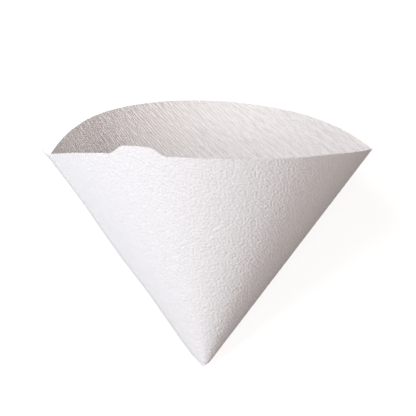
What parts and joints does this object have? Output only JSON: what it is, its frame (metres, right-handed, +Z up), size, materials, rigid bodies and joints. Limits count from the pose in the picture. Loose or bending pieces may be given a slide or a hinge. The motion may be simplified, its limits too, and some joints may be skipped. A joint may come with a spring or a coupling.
{
  "type": "paper coffee filter",
  "caption": "Cone of thin creped white paper, opened, with one folded crease, one crimped seam and a grip tab on its rim, lying on its back wall.",
  "frame": {"origin": "centre of the bounding box's bottom, on the surface that the filter lies on", "axes": "+Z up; +Y from the tip towards the open mouth; +X across the mouth, from the crimped seam to the folded crease"},
  "size_m": [0.1478, 0.125, 0.1005],
  "materials": {
    "paper": "creped, matt"
  },
  "bodies": {
    "root": {"filter_paper": "paper"}
  },
  "joints": []
}
